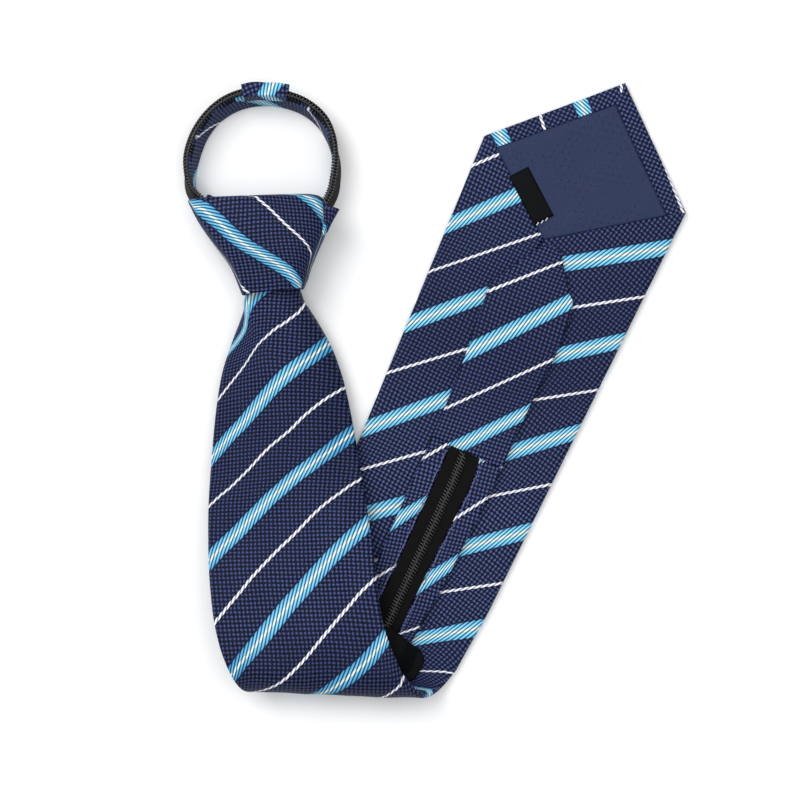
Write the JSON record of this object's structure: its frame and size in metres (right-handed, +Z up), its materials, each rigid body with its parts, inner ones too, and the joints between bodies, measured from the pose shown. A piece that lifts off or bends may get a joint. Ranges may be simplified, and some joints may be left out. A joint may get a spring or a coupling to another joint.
{
  "type": "zipper tie",
  "caption": "Pre-tied striped necktie with a fixed knot and a small standing neck loop closed by a zip; the long blade is folded under itself and its pointed tip lies lining side up",
  "frame": {"origin": "centre of the bounding box in plan, on the surface that the tie lies on", "axes": "+Z up from that surface, +Y across the plan towards the neck loop and the tip, +X to the right, towards the tip's side, seen from above"},
  "size_m": [0.1948, 0.2378, 0.024],
  "materials": {
    "striped_silk": "woven navy silk with diagonal light blue stripes and thin white stripes",
    "satin_lining": "slate navy satin with a small dotted weave",
    "black_satin": "black satin ribbon",
    "zip_tape": "black woven polyester tape",
    "nylon_coil": "black nylon coil"
  },
  "bodies": {
    "root": {"wide_blade": "striped_silk", "lining": "satin_lining", "care_label": "black_satin", "keeper_loop": "black_satin", "tail": "striped_silk", "tail_tape_left": "zip_tape", "tail_tape_right": "zip_tape", "zip_chain": "nylon_coil", "knot_wrap": "striped_silk", "knot_under_turn": "striped_silk", "neck_band": "striped_silk", "neck_tape_left": "zip_tape", "neck_tape_right": "zip_tape", "neck_coil_left": "nylon_coil", "neck_coil_right": "nylon_coil", "nape_cover": "striped_silk"}
  },
  "joints": []
}
